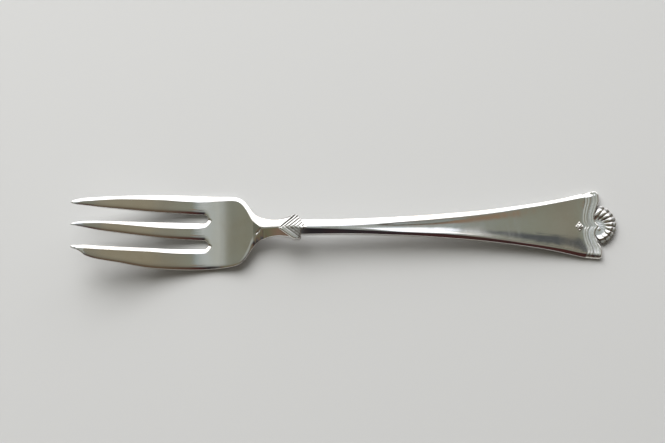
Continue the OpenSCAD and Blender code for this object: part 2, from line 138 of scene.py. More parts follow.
def curve(table, t):
    # smooth line through a table's points: a cubic on each stretch, with its neighbours' chord as slope
    p = np.asarray(table, float)
    before = np.maximum(np.arange(len(p)) - 1, 0)
    after = np.minimum(np.arange(len(p)) + 1, len(p) - 1)
    slope = (p[after, 1] - p[before, 1]) / (p[after, 0] - p[before, 0])
    t = np.clip(t, p[0, 0], p[-1, 0])
    i = np.clip(np.searchsorted(p[:, 0], t, side="right") - 1, 0, len(p) - 2)
    w = p[i + 1, 0] - p[i, 0]
    s = (t - p[i, 0]) / w
    return ((2 * s**3 - 3 * s**2 + 1) * p[i, 1] + (s**3 - 2 * s**2 + s) * w * slope[i]
            + (3 * s**2 - 2 * s**3) * p[i + 1, 1] + (s**3 - s**2) * w * slope[i + 1])


def spline(values, t):
    # uniform cubic B-spline over equal steps, with a mirrored point past each end
    v = np.asarray(values, float)
    n = len(v) - 1
    v = np.concatenate([[2 * v[0] - v[1]], v, [2 * v[-1] - v[-2]]])
    u = np.clip(t, 0, 1) * n
    i = np.minimum(np.floor(u).astype(int), n - 1)
    f = u - i
    return ((1 - f)**3 * v[i] + (3 * f**3 - 6 * f**2 + 4) * v[i + 1]
            + (3 * f**2 + 3 * f + 1 - 3 * f**3) * v[i + 2] + f**3 * v[i + 3]) / 6


def mix(a, b, t):
    # straight line from a at 0 to b at 1
    return a + (b - a) * t


def softMin(a, b, k):
    # smaller of two, rounded over where they differ by less than k
    h = np.maximum(k - np.abs(a - b), 0) / k
    return np.minimum(a, b) - h * h * k / 4


def ease(a, b, x):
    # 0 before a, 1 after b, and an S between them
    s = np.clip((x - a) / (b - a), 0, 1)
    return s * s * (3 - 2 * s)


# Half widths and places that follow from the outline
headHalf = outline["headWidth"] / 2
neckRootHalf = outline["neckRootWidth"] / 2
collarHalf = outline["collarWidth"] / 2
stemHalf = outline["stemWidth"] / 2
handleHalf = outline["handleWidth"] / 2
borderHalf = outline["borderWidth"] / 2
slotRadius = outline["slotWidth"] / 2
upperSlot = outline["slotOffset"] + outline["slotPitch"] / 2
lowerSlot = outline["slotOffset"] - outline["slotPitch"] / 2
stemX = collarX + outline["collarLength"]
borderX = baseX - outline["borderLength"]
collarTipX = collarX + outline["collarTip"] * outline["collarLength"]
hipX = neckX - edge["hip"]
chevronSlope = (collarTipX - collarX) / collarHalf
trailingSlope = (stemX - collarTipX) / collarHalf
neckHalf = outline["neckWidth"] / 2
flankHalf = outline["neckFlank"] * collarHalf


def placed(shares, start, end, narrow, wide):
    # outline points from shares of a stretch and shares of the width gained on it
    return [[mix(start, end, a), mix(narrow, wide, b)] for a, b in shares]


frontLine = (placed(outline["head"], rootX, neckX, neckRootHalf, headHalf)
             + placed(outline["neckFront"], neckX, collarTipX, neckHalf, neckRootHalf)
             + placed(outline["neckBack"], neckX, collarTipX, neckHalf, flankHalf))
backLine = ([[collarTipX, stemHalf]] + placed(outline["flare"], openingX, borderX, stemHalf, handleHalf)
            + [[baseX, borderHalf]])


def half(x, line=None):
    # half width at x, on the front outline up to the collar's tips and on the back one after them
    if line is not None:
        return curve(line, x)
    return np.where(x < collarTipX, curve(frontLine, x), curve(backLine, x))


def slant(x, line=None):
    # cosine of the outline's angle to the centre line: 1 over the root of 1 plus its slope squared
    step = edge["slantStep"]
    s = (half(x + step, line) - half(x - step, line)) / (2 * step)
    return 1 / np.sqrt(1 + s * s)


def wall(x):
    # thickness of the metal at the edges, along the fork
    places = [[tipX, profile["tipWall"]], [rootX, profile["headWall"]], [beltX, profile["headWall"]],
              [collarX, profile["stemWall"]], [openingX, profile["stemWall"]],
              [borderX, profile["endWall"]], [endX, profile["endWall"]]]
    return curve(places, x)


def underside(x):
    # height of the back: the tips' lift and the arch, each a spline along the fork
    t = np.interp(x, [tipX, rootX, neckX, borderX, endX], profile["shares"])
    lift = profile["tipLift"] * spline(profile["lift"], t)
    return lift + profile["archHeight"] * spline(profile["arch"], t)


def edgeTop(x):
    # height of the upper edge: the crown's rim on the back, and the wall on that
    return underside(x) + (1 + profile["crown"]) * wall(x)


def roof(x, line=None):
    # half width without the narrow land along a ridge
    return half(x, line) - edge["land"]


def bevel(x, line=None):
    # width of the even bevel that sets the panel's height above its edges: the head's as far as the
    # hip, then wider up to the ridge of the neck and stem, which fades into the handle's
    t = (x - stemX) / (borderX - stemX)
    ridge = np.where(t < 1, curve(edge["fade"], t), 0)
    fading = mix(edge["handleBevel"], stemHalf - edge["land"], ridge)
    hip = mix(edge["bevel"], neckRootHalf - edge["land"], (x - hipX) / edge["hip"])
    behind = np.minimum(roof(x, line), fading)
    ahead = np.where(x < hipX, edge["bevel"], np.where(x < neckX, hip, roof(x, line)))
    return np.where(x < stemX, ahead, behind)


def positive(v, k):
    # v where it is above zero, else 0, rounded over within k of zero
    h = np.maximum(k - np.abs(v), 0) / k
    return np.maximum(v, 0) + h * h * k / 4


def farHalf(x, line=None):
    # half width on the far side, where the outline is drawn in
    return half(x, line) - curve(outline["trim"], x)


def creases(x, line=None):
    # sideways places where the bevels meet the panel: on each side the outer of the bevel's width in
    # from the edge and the crease's own place. The outline's slant goes with them.
    s = slant(x, line)
    far = np.maximum(farHalf(x, line) - curve(edge["farWidth"], x) / s, curve(edge["farCrease"], x))
    near = softMin(curve(edge["nearWidth"], x) / s - half(x, line), curve(edge["nearCrease"], x),
                   edge["creaseSoft"])
    return far, near, s


def inset(x, y, line=None):
    # distance in from the nearer long edge
    s = slant(x, line)
    return softMin((farHalf(x, line) - y) * s, (half(x, line) + y) * s, edge["ridgeSoft"])


def level(x, line=None):
    # height of the panel: the edge's, and the rise of the bevel
    return edgeTop(x) + edge["rise"] * bevel(x, line)


def dimple(x, y):
    # bell-shaped hollow, longer along its own axis
    d = edge["dimple"]
    turn = math.radians(d["turn"])
    along = ((x - d["x"]) * math.cos(turn) + (y - d["y"]) * math.sin(turn)) / d["length"]
    aside = ((y - d["y"]) * math.cos(turn) - (x - d["x"]) * math.sin(turn)) / d["width"]
    return d["depth"] * np.exp(-2 * (along**2 + aside**2))


def evened(x, line=None):
    # how far the level rises when it is averaged over four places along the fork
    shifts = np.array([-1, -0.33, 0.33, 1]) * edge["evenOver"]
    mean = sum(level(x + shift, line) for shift in shifts) / len(shifts)
    stop, start = edge["evenStop"]
    return (mean - level(x, line)) * ease(neckX + stop, neckX + start, x)


def panel(x, y, line=None):
    # panel with a hollow between its creases, and a bevel that falls away outside each. The hollow is
    # a parabola whose slope at the creases is the table's.
    far, near, s = creases(x, line)
    reach = np.maximum((far - near) / 2, edge["land"])
    bowl = np.maximum(0, 1 - ((y - (far + near) / 2) / reach)**2)
    hollow = curve(edge["hollow"], x) * reach / 2 * bowl
    even = evened(x, line) * ease(0, edge["evenWithin"], near - y)
    return (level(x, line) + even - hollow - dimple(x, y)
            - edge["rise"] * positive((y - far) * s, edge["farSoft"])
            - edge["nearRise"] * positive((near - y) * s, curve(edge["nearSoft"], x)))


def back(x, sideSquared):
    # height of the underside: crowned across, and worn flat where it meets the table
    return np.maximum(0, underside(x) - profile["wear"] + profile["crown"] * wall(x) * sideSquared)


def rounded(d, radius):
    # how far a surface falls at a distance in from an edge that is rounded to a quarter circle
    s = np.clip(1 - d / radius, 0, 1)
    return radius * (1 - np.sqrt(1 - s * s))


def across(count):
    # lanes from -1 to 1 by the cosine, closer together at both edges
    return -np.cos(np.pi * np.arange(count + 1) / count)


def steps(count):
    # even shares from 0 to 1
    return np.arange(count + 1) / count


def closer(count, power):
    # shares from 0 to 1, raised to a power so that they are closer together near 0
    return steps(count)**power


def normalise(v):
    # each vector over its own length
    return v / np.maximum(np.linalg.norm(v, axis=-1, keepdims=True), 1e-12)


def heightNormals(top, under, edgeDistance, x, y, topRound, backRound):
    # normals of two height fields, with the rounding's own slope added along the way in from the edge.
    # Slopes are differences over a short step each way.
    e = edge["slopeStep"]
    gx = (edgeDistance(x + e, y) - edgeDistance(x - e, y)) / (2 * e)
    gy = (edgeDistance(x, y + e) - edgeDistance(x, y - e)) / (2 * e)
    d = np.maximum(edgeDistance(x, y), 0)
    out = []
    for field, radius, up in ((top, topRound, 1), (under, backRound, -1)):
        fx = (field(x + e, y) - field(x - e, y)) / (2 * e)
        fy = (field(x, y + e) - field(x, y - e)) / (2 * e)
        s = np.clip(1 - d / radius, 0, 0.9995)        # just short of upright
        fall = s / np.sqrt(1 - s * s)
        slopes = [-up * fx - fall * gx, -up * fy - fall * gy, np.full_like(fx, up)]
        out.append(normalise(np.stack(slopes, -1)))
    return out


def gridNormals(top, under):
    # normals of a closed ring of lanes, from the cross product of its two directions
    ring = np.concatenate([top, under[:, ::-1]], 1)
    alongFork = np.gradient(ring, axis=0)
    aroundRing = np.roll(ring, -1, 1) - np.roll(ring, 1, 1)
    n = normalise(np.cross(alongFork, aroundRing))
    lanes = top.shape[1]
    return n[:, :lanes], n[:, lanes:][:, ::-1]


pieces = {}


def makePiece(name, slot, top, under, normals, groove=None):
    # closed solid between a top and an under grid of points, whose rows and lanes go towards +X and
    # +Y: faces on both grids and a band of faces round their rims. Its attribute of painted shade is
    # how much each point of the top is darkened where shade falls, none underneath.
    rows, lanes = top.shape[:2]
    count = rows * lanes
    k = np.arange(count).reshape(rows, lanes)
    a, b, c, d = k[:-1, :-1], k[1:, :-1], k[1:, 1:], k[:-1, 1:]
    quads = [np.stack([a, b, c, d], -1).reshape(-1, 4),
             np.stack([a, d, c, b], -1).reshape(-1, 4) + count]
    rim = [k[:, 0], k[-1, :], k[::-1, -1], k[0, ::-1]]
    for line in rim:
        quads.append(np.stack([line[:-1], line[:-1] + count, line[1:] + count, line[1:]], -1))
    quads = np.concatenate(quads)
    mesh = bpy.data.meshes.new(name)
    mesh.from_pydata(np.concatenate([top.reshape(-1, 3), under.reshape(-1, 3)]) * mm, [], quads.tolist())
    mesh.polygons.foreach_set("use_smooth", np.ones(len(mesh.polygons), bool))
    both = np.concatenate([n.reshape(-1, 3) for n in normals])
    mesh.normals_split_custom_set_from_vertices(both.tolist())
    shade = mesh.attributes.new("groove", "FLOAT", "POINT")
    deep = np.zeros((rows, lanes)) if groove is None else np.broadcast_to(groove, (rows, lanes))
    shade.data.foreach_set("value", np.concatenate([deep.ravel(), np.zeros(count)]).astype(np.float32))
    piece = bpy.data.objects.new(name, mesh)
    bpy.context.scene.collection.objects.link(piece)
    pieces[name] = (piece, slot)
    print("made", name, rows, "by", lanes)


def plainPiece(name, x, y, edgeDistance, top, under, groove=None, crisp=0):
    # piece of plain bevelled metal: two height fields whose edges are rounded, less on near edges.
    # Its ends are shaded from just inside them where a crisp bend meets the next piece.
    d = np.maximum(edgeDistance(x, y), 0)
    most = wall(x) * edge["wallShare"]
    step = edge["slopeStep"]
    facing = (edgeDistance(x, y + step) - edgeDistance(x, y - step)) / (2 * step)
    topRound = mix(edge["topRound"], edge["nearRound"], ease(*edge["roundTurn"], facing))
    topRound = np.minimum(topRound, most)
    backRound = np.minimum(edge["backRound"], most)
    upper = np.stack([x, y, top(x, y) - rounded(d, topRound)], -1)
    lower = np.stack([x, y, under(x, y) + rounded(d, backRound)], -1)
    inside = np.clip(x, x.min() + crisp, x.max() - crisp)
    normals = heightNormals(top, under, edgeDistance, inside, y, topRound, backRound)
    makePiece(name, "silver", upper, lower, normals, groove)


# Tines: each runs between two edges, near and far, which are shifts from its root in shares of half
# the head, by share of the way to the tip
tines = {
    "rows": 150, "gather": 1.5, "lanes": 56, "nose": 0.8, "noseStart": 0.0004,
    # widths of the bevels, each with its largest share of the tine's own width
    "far": {
        "outer_tine": [[0, 1.72], [0.05, 1.86], [0.1, 1.92], [0.2, 1.84], [0.31, 1.56], [0.42, 1.33],
                       [0.54, 1.15], [0.66, 0.98], [0.78, 0.98], [0.9, 1.02], [1, 0.9]],
        "middle_tine": [[0, 1.2], [0.035, 1.55], [0.08, 1.8], [0.2, 1.85], [0.31, 1.72], [0.42, 1.45],
                        [0.54, 1.12], [0.66, 0.8], [0.76, 0.64], [0.88, 0.67], [1, 0.6]],
        "cutting_tine": [[0, 1.2], [0.08, 1.42], [0.2, 1.4], [0.31, 1.22], [0.42, 1.06], [0.82, 1.04],
                         [0.92, 1.02], [1, 0.9]],
    },
    "near": [[0, 0.7], [0.5, 0.6], [0.8, 0.45], [1, 0.25]],
    "farLimit": 0.72, "nearLimit": 0.28, "nearSoft": 0.9,
    # share of the length over which a tine takes after the head, and the step for its edges' slopes
    "rootShare": 0.25, "slopeStep": 0.02,
    "outer_tine": (
        [[0, 0], [0.1, 0.012], [0.26, 0.026], [0.41, 0.035], [0.63, 0.054], [0.78, 0.066],
         [0.9, 0.095], [0.955, 0.108], [0.985, 0.13], [1, 0.15]],
        [[0, 0], [0.12, 0.008], [0.26, 0.0], [0.33, -0.014], [0.41, -0.036], [0.52, -0.068],
         [0.63, -0.108], [0.78, -0.169], [0.9, -0.22], [0.955, -0.259], [0.985, -0.294], [1, -0.325]]),
    "middle_tine": (
        [[0, 0], [0.1, 0.01], [0.26, 0.027], [0.41, 0.056], [0.63, 0.105], [0.78, 0.143],
         [0.895, 0.2], [0.953, 0.235], [0.983, 0.247], [1, 0.255]],
        [[0, 0], [0.06, 0.014], [0.12, 0.016], [0.26, 0.006], [0.41, -0.014], [0.63, -0.05],
         [0.78, -0.07], [0.895, -0.09], [0.953, -0.118], [0.983, -0.147], [1, -0.17]]),
    "cutting_tine": (
        [[0, 0], [0.12, -0.01], [0.26, -0.008], [0.41, 0.006], [0.52, 0.047], [0.63, 0.1],
         [0.775, 0.155], [0.834, 0.19], [0.892, 0.255], [0.922, 0.335], [0.951, 0.39],
         [0.98, 0.42], [1, 0.44]],
        [[0, 0], [0.1, -0.002], [0.26, -0.016], [0.41, -0.02], [0.63, -0.032], [0.78, -0.033],
         [0.89, -0.027], [0.95, -0.036], [0.98, -0.043], [1, -0.056]]),
}
rootHalf = float(half(np.array(rootX)))


def toTheTip(x):
    # share of the way from the tines' roots to their tips
    return (rootX - x) / (rootX - tipX)


def makeTine(name, nearRoot, farRoot):
    # one tine between the places of its two edges at the root
    nearShifts, farShifts = tines[name]

    def edges(x):
        # both edges at x, drawn together into a round nose over the last stretch
        t = toTheTip(x)
        a = nearRoot + headHalf * curve(nearShifts, t)
        b = farRoot + headHalf * curve(farShifts, t)
        toTip = np.clip(x - tipX, tines["noseStart"], None)
        nose = np.sqrt(1 - np.clip(1 - toTip / tines["nose"], 0, 1)**2)
        middle = (a + b) / 2
        return middle + (a - middle) * nose, middle + (b - middle) * nose

    def insets(x, y):
        # distances in from the near and the far edge, square to each, and the width between them
        e = tines["slopeStep"]
        a, b = edges(x)
        a0, b0 = edges(x - e)
        a1, b1 = edges(x + e)
        return ((y - a) / np.sqrt(1 + ((a1 - a0) / (2 * e))**2),
                (b - y) / np.sqrt(1 + ((b1 - b0) / (2 * e))**2), b - a)

    def edgeDistance(x, y):
        # distance in from the nearer edge
        fromNear, fromFar, _ = insets(x, y)
        return softMin(fromNear, fromFar, edge["ridgeSoft"])

    def top(x, y):
        # level panel that falls away outside the far and the near bevel's crease
        t = toTheTip(x)
        fromNear, fromFar, width = insets(x, y)
        far = np.minimum(curve(tines["far"][name], t), tines["farLimit"] * width)
        near = np.minimum(curve(tines["near"], t), tines["nearLimit"] * width)
        soft = mix(curve(edge["nearSoft"], x), tines["nearSoft"], np.clip(t / tines["rootShare"], 0, 1))
        lowered = edge["rise"] * positive(far - fromFar, edge["farSoft"])
        return (edgeTop(x) + edge["rise"] * np.minimum(edge["bevel"], width / 2) - lowered
                - edge["nearRise"] * positive(near - fromNear, soft))

    def under(x, y):
        # back with the head's crown at the root, and the tine's own further on
        a, b = edges(x)
        own = ((2 * y - a - b) / (b - a))**2
        return back(x, mix((y / half(x))**2, own, ease(0, tines["rootShare"], toTheTip(x))))

    x = tipX + (rootX - tipX) * closer(tines["rows"], tines["gather"])[:, None] + 0 * across(tines["lanes"])
    a, b = edges(x)
    y = mix(a, b, (across(tines["lanes"]) + 1) / 2)
    plainPiece(name, x, y, edgeDistance, top, under)


makeTine("outer_tine", upperSlot + slotRadius, rootHalf)
makeTine("middle_tine", lowerSlot + slotRadius, upperSlot - slotRadius)
makeTine("cutting_tine", -rootHalf, lowerSlot - slotRadius)

# Head: level front. Each slot's end has a bevel that is broad where it faces the far side, runs out
# in a hook past the end and is a narrow roll on the near side.
head = {
    "rows": 64, "gather": 1.8, "lanes": 48, "arcLanes": 30,
    # width of the bevel by the sine of the direction from the slot's centre, and where it turns from
    # a far bevel into a near one
    "slotWidths": [[-1, 1.2], [-0.88, 1.1], [-0.6, 1.04], [-0.27, 1.14], [-0.15, 1.0], [0, 0.55],
                   [0.25, 0.3], [0.7, 0.42], [1, 0.7]],
    "slotTurn": (-0.3, 0.3),
}


def slotInset(x, y, middle):
    # distance from a slot, and the sine of the direction from its centre
    ahead = np.maximum(x - rootX, 0)
    distance = np.hypot(ahead, y - middle)
    return distance - slotRadius, (y - middle) / np.maximum(distance, 1e-6)


def headDistance(x, y):
    # distance in from the nearest of the outline and the two slots
    upper, lower = slotInset(x, y, upperSlot)[0], slotInset(x, y, lowerSlot)[0]
    return softMin(inset(x, y), softMin(upper, lower, edge["ridgeSoft"]), edge["ridgeSoft"])


def headTop(x, y):
    # panel less the bevels round the slots' ends
    z = panel(x, y)
    for middle in (upperSlot, lowerSlot):
        distance, sine = slotInset(x, y, middle)
        width = curve(head["slotWidths"], sine)
        turned = ease(*head["slotTurn"], sine)
        soft = mix(edge["farSoft"], tines["nearSoft"], turned)
        z = z - mix(edge["rise"], edge["nearRise"], turned) * positive(width - distance, soft)
    return z


def plainUnder(x, y):
    # back, crowned by the square of the share of the half width
    return back(x, (y / half(x))**2)


def stretch(a, b, count):
    # lanes from a to b, closer together at both
    return mix(a, b, (across(count) + 1) / 2)


arc = slotRadius * across(head["arcLanes"])
lanes = np.concatenate([
    stretch(-rootHalf, lowerSlot - slotRadius, head["lanes"])[:-1], lowerSlot + arc,
    stretch(lowerSlot + slotRadius, upperSlot - slotRadius, head["lanes"])[1:-1], upperSlot + arc,
    stretch(upperSlot + slotRadius, rootHalf, head["lanes"])[1:]])
fromSlot = np.minimum(np.abs(lanes - upperSlot), np.abs(lanes - lowerSlot))
mouth = rootX + np.sqrt(np.maximum(0, slotRadius**2 - fromSlot**2))
x = mix(mouth, beltX, closer(head["rows"], head["gather"])[:, None])
plainPiece("head", x, lanes * half(x) / rootHalf, headDistance, headTop, plainUnder)


def spread(x, s, line=None):
    # sideways place at a share of the half width, from -1 on the near edge to 1 on the far one
    return mix(-half(x, line), farHalf(x, line), (s + 1) / 2)


# Shoulder: the bevelled outline from the head's belt down to the neck
shoulder = {"rows": 70, "lanes": 120}
s = across(shoulder["lanes"])
x = mix(beltX, neckX, steps(shoulder["rows"]))[:, None] + 0 * s
plainPiece("shoulder", x, spread(x, s), inset, panel, plainUnder, crisp=edge["crispEnd"])

# Neck: ends along the chevron of the collar's front
neck = {"rows": 60, "lanes": 76}


def softAbs(y):
    # size of y, rounded over at 0 as a hyperbola is
    return np.sqrt(y * y + edge["ridgeSoft"]**2) - edge["ridgeSoft"]


t = steps(neck["rows"])[:, None]
straight = mix(neckX, collarTipX, t)
y = spread(straight, across(neck["lanes"]), frontLine)
x = mix(neckX, collarX + chevronSlope * softAbs(y), t)


def alongLine(line):
    # distance in from the edges, height of the panel and height of the back, all on one outline
    return (lambda x, y: inset(x, y, line), lambda x, y: panel(x, y, line),
            lambda x, y: back(x, (y / half(x, line))**2))


plainPiece("neck", x, y, *alongLine(frontLine), crisp=edge["crispEnd"])

# Stem: starts along the collar's trailing edges
stem = {"rows": 60, "lanes": 64}
backInset, backPanel, backUnder = alongLine(backLine)
t = steps(stem["rows"])[:, None]
y = spread(mix(stemX, openingX, t), across(stem["lanes"]), backLine)
x = mix(stemX - trailingSlope * np.abs(y), openingX, t)
plainPiece("stem", x, y, backInset, backPanel, backUnder)

# Wave border: its wave line, outer end and ridges, in shares of its half width and of its length
border = {
    "rows": 90, "lanes": 180, "fineRows": 10, "fineShare": 0.06,
    "waveSwing": 1.2, "endSwing": 0.75, "innerSwing": 1.1, "ridge": 0.06, "lift": 0.2,
    "round": 0.5, "farCorner": 1.4, "nearCorner": 0.9,
    # sideways shift of the ornament, out to this share of the half width
    "shift": 0.35, "crease": 0.875,
    # the ridges fade out over this stretch across the far crease
    "fade": (-0.25, 0.4),
    # the far bevel loses this share of its fall on the way to the far corner
    "flare": 0.95, "flareOver": (0.15, 0.85),
    # painted shade in the valleys below this height of the ridges, from just behind the wave line
    "shadeBelow": 0.35, "shadeFrom": (0.02, 0.05),
    "wave": [[0, 0.56], [0.035, 0.42], [0.08, 0.2], [0.15, 0.03], [0.25, 0], [0.4, 0.14], [0.55, 0.42],
             [0.68, 0.74], [0.77, 0.84], [0.86, 0.72], [1, 0.2]],
    # how far the wave of the outer end, under the shell, lies back from the shell's base
    "inner": [[0, -0.3], [0.035, -0.1], [0.08, 0.25], [0.15, 0.55], [0.25, 0.68], [0.36, 0.5],
              [0.46, 0.12], [0.52, 0], [1, 0]],
    "end": [[0, 0], [0.5, 0], [0.52, 0.02], [0.6, 0.5], [0.7, 0.96], [0.8, 1], [0.9, 0.95],
            [0.95, 0.9], [1, 0.85]],
    "ridges": [[0, 0], [0.04, 0.4], [0.11, 1], [0.17, 0.35], [0.2, 0.25], [0.24, 0.5], [0.3, 1],
               [0.37, 0.5], [0.47, 0.1], [0.58, 0.35], [0.67, 0.8], [0.74, 0.45], [0.78, 0.45],
               [0.87, 0.9], [0.95, 0.8], [1, 0.6]],
}


def waveX(s):
    # wave line, which is the same on both sides of the middle
    return borderX + border["waveSwing"] * curve(border["wave"], np.abs(s))


def rimX(s):
    # outer end, whose two corners are rounded
    radius = np.where(s > 0, border["farCorner"], border["nearCorner"])
    over = np.clip(np.abs(s) * borderHalf - (borderHalf - radius), 0, radius)
    rounding = radius - np.sqrt(radius**2 - over**2)
    wavy = border["innerSwing"] * curve(border["inner"], np.abs(s))
    return baseX + border["endSwing"] * curve(border["end"], np.abs(s)) - rounding - wavy


def struck(s):
    # sideways shift of the ornament, a parabola that dies out at the creases
    return border["shift"] * np.maximum(0, 1 - (s / border["crease"])**2)


# Handle: panel widens from the stem to the wave line
handle = {
    "rows": 210,
    # painted shade along the wave line, where the panel meets the border: how far it reaches, its share in
    # the middle, and where it thickens
    "foot": 0.4, "middleFoot": 0.15, "footTurn": (0.5, 0.8),
}
s = across(border["lanes"])
t = steps(handle["rows"])[:, None]
x = mix(openingX, waveX(s), t)
y = spread(x, s, backLine) - t * struck(s)
# painted shade at the panel's foot along the wave line, stronger out towards both edges
foot = ease(handle["foot"], 0, waveX(s) - x)
foot = foot * mix(handle["middleFoot"], 1, ease(*handle["footTurn"], np.abs(s)))
plainPiece("handle", x, y, backInset, backPanel, backUnder, foot)


def reliefPiece(name, x, y, z, deep, groove):
    # piece of moulded metal, shaded from its own grid
    grids = [np.stack([x, y, z], -1), np.stack([x, y, deep], -1)]
    makePiece(name, "relief", *grids, gridNormals(*grids), groove)


# The border's last rows are closer together, for its rounded end
even = np.arange(border["rows"]) / border["rows"] * (1 - border["fineShare"])
t = np.concatenate([even, 1 - border["fineShare"] * closer(border["fineRows"], 2)[::-1]])[:, None]
x = mix(waveX(s), rimX(s), t)
y = mix(spread(waveX(s), s, backLine), s * borderHalf, t) - struck(s)
span = rimX(s) - waveX(s)
d = np.minimum(np.maximum(inset(x, y, backLine), 0), (1 - t) * span)
flare = border["flare"] * ease(*border["flareOver"], t)
farFade = 1 - (1 - flare) * ease(*border["fade"], y - curve(edge["farCrease"], x))
ridges = curve(border["ridges"], t)
farCrease, _, cosine = creases(x, backLine)
raised = flare * edge["rise"] * positive((y - farCrease) * cosine, edge["farSoft"])
z = (backPanel(x, y) + border["ridge"] * ridges * farFade + raised + border["lift"] * t * farFade
     - rounded(d, border["round"]))
# painted shade in the valleys between the ridges, fading out at the far crease
groove = np.clip(border["shadeBelow"] - ridges, 0, 1) * ease(*border["shadeFrom"], t) * farFade
reliefPiece("wave_border", x, y, z, backUnder(x, y) + rounded(d, edge["backRound"]), groove)

# Collar: a lozenge of chevron ribs with rounded ends, closed by a bead. It falls away steeply on the
# far side and is almost level on the near one.
collar = {
    "rows": 200, "lanes": 96, "lead": 0.9, "trail": 0.2, "slope": 1.27, "top": 1.27,
    # fall of the far side and its limit, and of the near side
    "fall": 0.45, "fallReach": 2.8, "near": 0.07, "nearCurve": 0.005, "soft": 0.45,
    # swelling on each side, the share of it that the middle rises, and where one side turns into
    # the other, and the same for the depth of the ribs
    "dome": 0.34, "nearDome": -0.2, "domeRise": 0.5, "domeTurn": (-0.7, 0.5),
    "rib": 0.24, "nearRib": 0.06, "ribTurn": (-0.5, 0.4), "nearRibOver": (1.2, 2.4), "ribEnd": 0.14,
    "frontRound": 0.45, "sideRound": 0.5, "bead": 0.34, "beadOver": (0.88, 0.97),
    # the chevrons straighten into a round tail over the last stretch, set by a power of the share
    "tail": 0.36, "tailPower": 6, "sway": (-0.12, -0.42),
    # painted shade: on the near side from front to back, and in the grooves of the near and the far side
    "sideShade": 0.75, "sideShadeOver": (0.9, 2.8), "sideShadeTurn": (0.1, -0.8),
    "grooveDirt": (0.15, 0.85), "shadePower": 1.5,
    # grooves between the ribs: place behind the front, depth, sharpness
    "grooves": [(-0.6, 0, 3.5), (0.95, 1.5, 1.8), (2.15, 1.05, 2.4), (3.4, 1, 2.4), (4.6, 0.8, 3),
                (5.75, 0.8, 3.5), (6.85, 0.8, 3.5), (7.9, 0, 3.5)],
    # half width by share of the way back
    "farWidth": [[0, 1], [0.2, 0.925], [0.4, 0.708], [0.53, 0.595], [0.67, 0.454], [0.85, 0.257],
                 [1, 0.097]],
    "nearWidth": [[0, 1], [0.16, 1.01], [0.24, 0.97], [0.35, 0.84], [0.5, 0.61], [0.8, 0.216],
                  [1, 0.097]],
}
length = collar["lead"] + outline["collarLength"] + collar["trail"]
t = steps(collar["rows"])[:, None]
s = across(collar["lanes"])
u = t * length
# each groove falls off on both sides by its own power, to nothing half way to the next one
places, depths, powers = [np.array(column) for column in zip(*collar["grooves"])]
share = np.interp(u, places, np.arange(len(places)))
nearest = np.rint(share).astype(int)
valley = depths[nearest] * (1 - 2 * np.abs(share - nearest))**powers[nearest]
w = collarHalf * np.where(s > 0, curve(collar["farWidth"], t), curve(collar["nearWidth"], t))
w = w - collar["ribEnd"] * valley
ownY = s * w
y = ownY + mix(*collar["sway"], t) * (1 - np.abs(ownY) / collarHalf)
tail = t**collar["tailPower"]
x = (collarX - collar["lead"] + u + collar["slope"] * softAbs(ownY) * (1 - tail)
     + collar["tail"] * tail * np.sqrt(1 - s * s))
toFar = softMin(positive(ownY, collar["soft"]), collar["fallReach"], collar["soft"])
toNear = positive(-ownY, collar["soft"])
fall = collar["fall"] * toFar + collar["near"] * toNear + collar["nearCurve"] * toNear**3
fromFront = u / math.hypot(1, collar["slope"])
fromSide = (1 - np.abs(s)) * w * math.hypot(1, collar["slope"])
onFar = ease(*collar["ribTurn"], ownY)
depth = mix(collar["nearRib"] * ease(*collar["nearRibOver"], u), collar["rib"], onFar)
swell = mix(collar["nearDome"], collar["dome"], ease(*collar["domeTurn"], ownY))
arched = swell * (collar["domeRise"] - (2 * u / length - 1)**2)
z = edgeTop(x) + collar["top"] - fall + arched - depth * valley
z = z - rounded(fromFront, collar["frontRound"]) - rounded(fromSide, collar["sideRound"])
z = z + collar["bead"] * ease(*collar["beadOver"], t)
deep = back(x, (ownY / collarHalf)**2) - collar["rib"] * (1 - valley) / 2
deep = deep + rounded(np.minimum(fromFront, fromSide), edge["backRound"])
# painted shade on the near side, from front to back, and in the grooves between the ribs, more on the far
# side
sheltered = collar["sideShade"] * ease(*collar["sideShadeOver"], u) * ease(*collar["sideShadeTurn"], ownY)
groove = valley**collar["shadePower"] * mix(*collar["grooveDirt"], onFar) + sheltered
reliefPiece("collar", x, y, z, deep, groove)

# Shell: a fan about a point under the border. A hollow middle, a ring of rounded lobes and a lower
# scalloped rim, by share of the fan's radius.
shell = {
    "rows": 90, "fineRows": 7, "fineShare": 0.02, "lanesPerRib": 24, "ribs": 9, "turn": 78,
    "startLanes": 801,
    "width": 11.2, "lead": 0.3, "crownHeight": 0.42, "ribHeight": 0.27, "ribPower": 0.6,
    "scallop": 0.05, "step": 0.08, "stepOver": 0.09, "bud": 0.07, "budRadius": 0.5,
    # places of the hollow's centre from the fan's, and of the bud from the shell's base, along the
    # fork and across it. The hollow's own centre counts up to this stretch of the radius.
    "hollowShift": (0.25, -1.05), "budShift": (0.25, -1.3), "hollowOver": (0.45, 0.85),
    # painted shade between the ribs, less on the near side, and on the rim
    "shadeOver": (0.44, 0.56), "shadePower": 1.5, "nearShade": 0.75, "shadeTurn": (-1.5, 1),
    "rim": 0.55, "rimOver": (0.78, 0.84),
    "crown": [[0, 0.2], [0.2, 0.1], [0.49, 0.12], [0.57, 0.3], [0.65, 0.74], [0.71, 0.98], [0.75, 1],
              [0.79, 0.9], [0.83, 0.74], [0.88, 0.64], [0.95, 0.6], [1, 0.45]],
    "rib": [[0, 0], [0.4, 0], [0.48, 0.35], [0.56, 0.8], [0.63, 1], [0.74, 1], [0.79, 0.8], [0.83, 0.5],
            [0.9, 0.5], [1, 0.45]],
}
count = shell["ribs"] * shell["lanesPerRib"]
k = np.arange(count + 1)
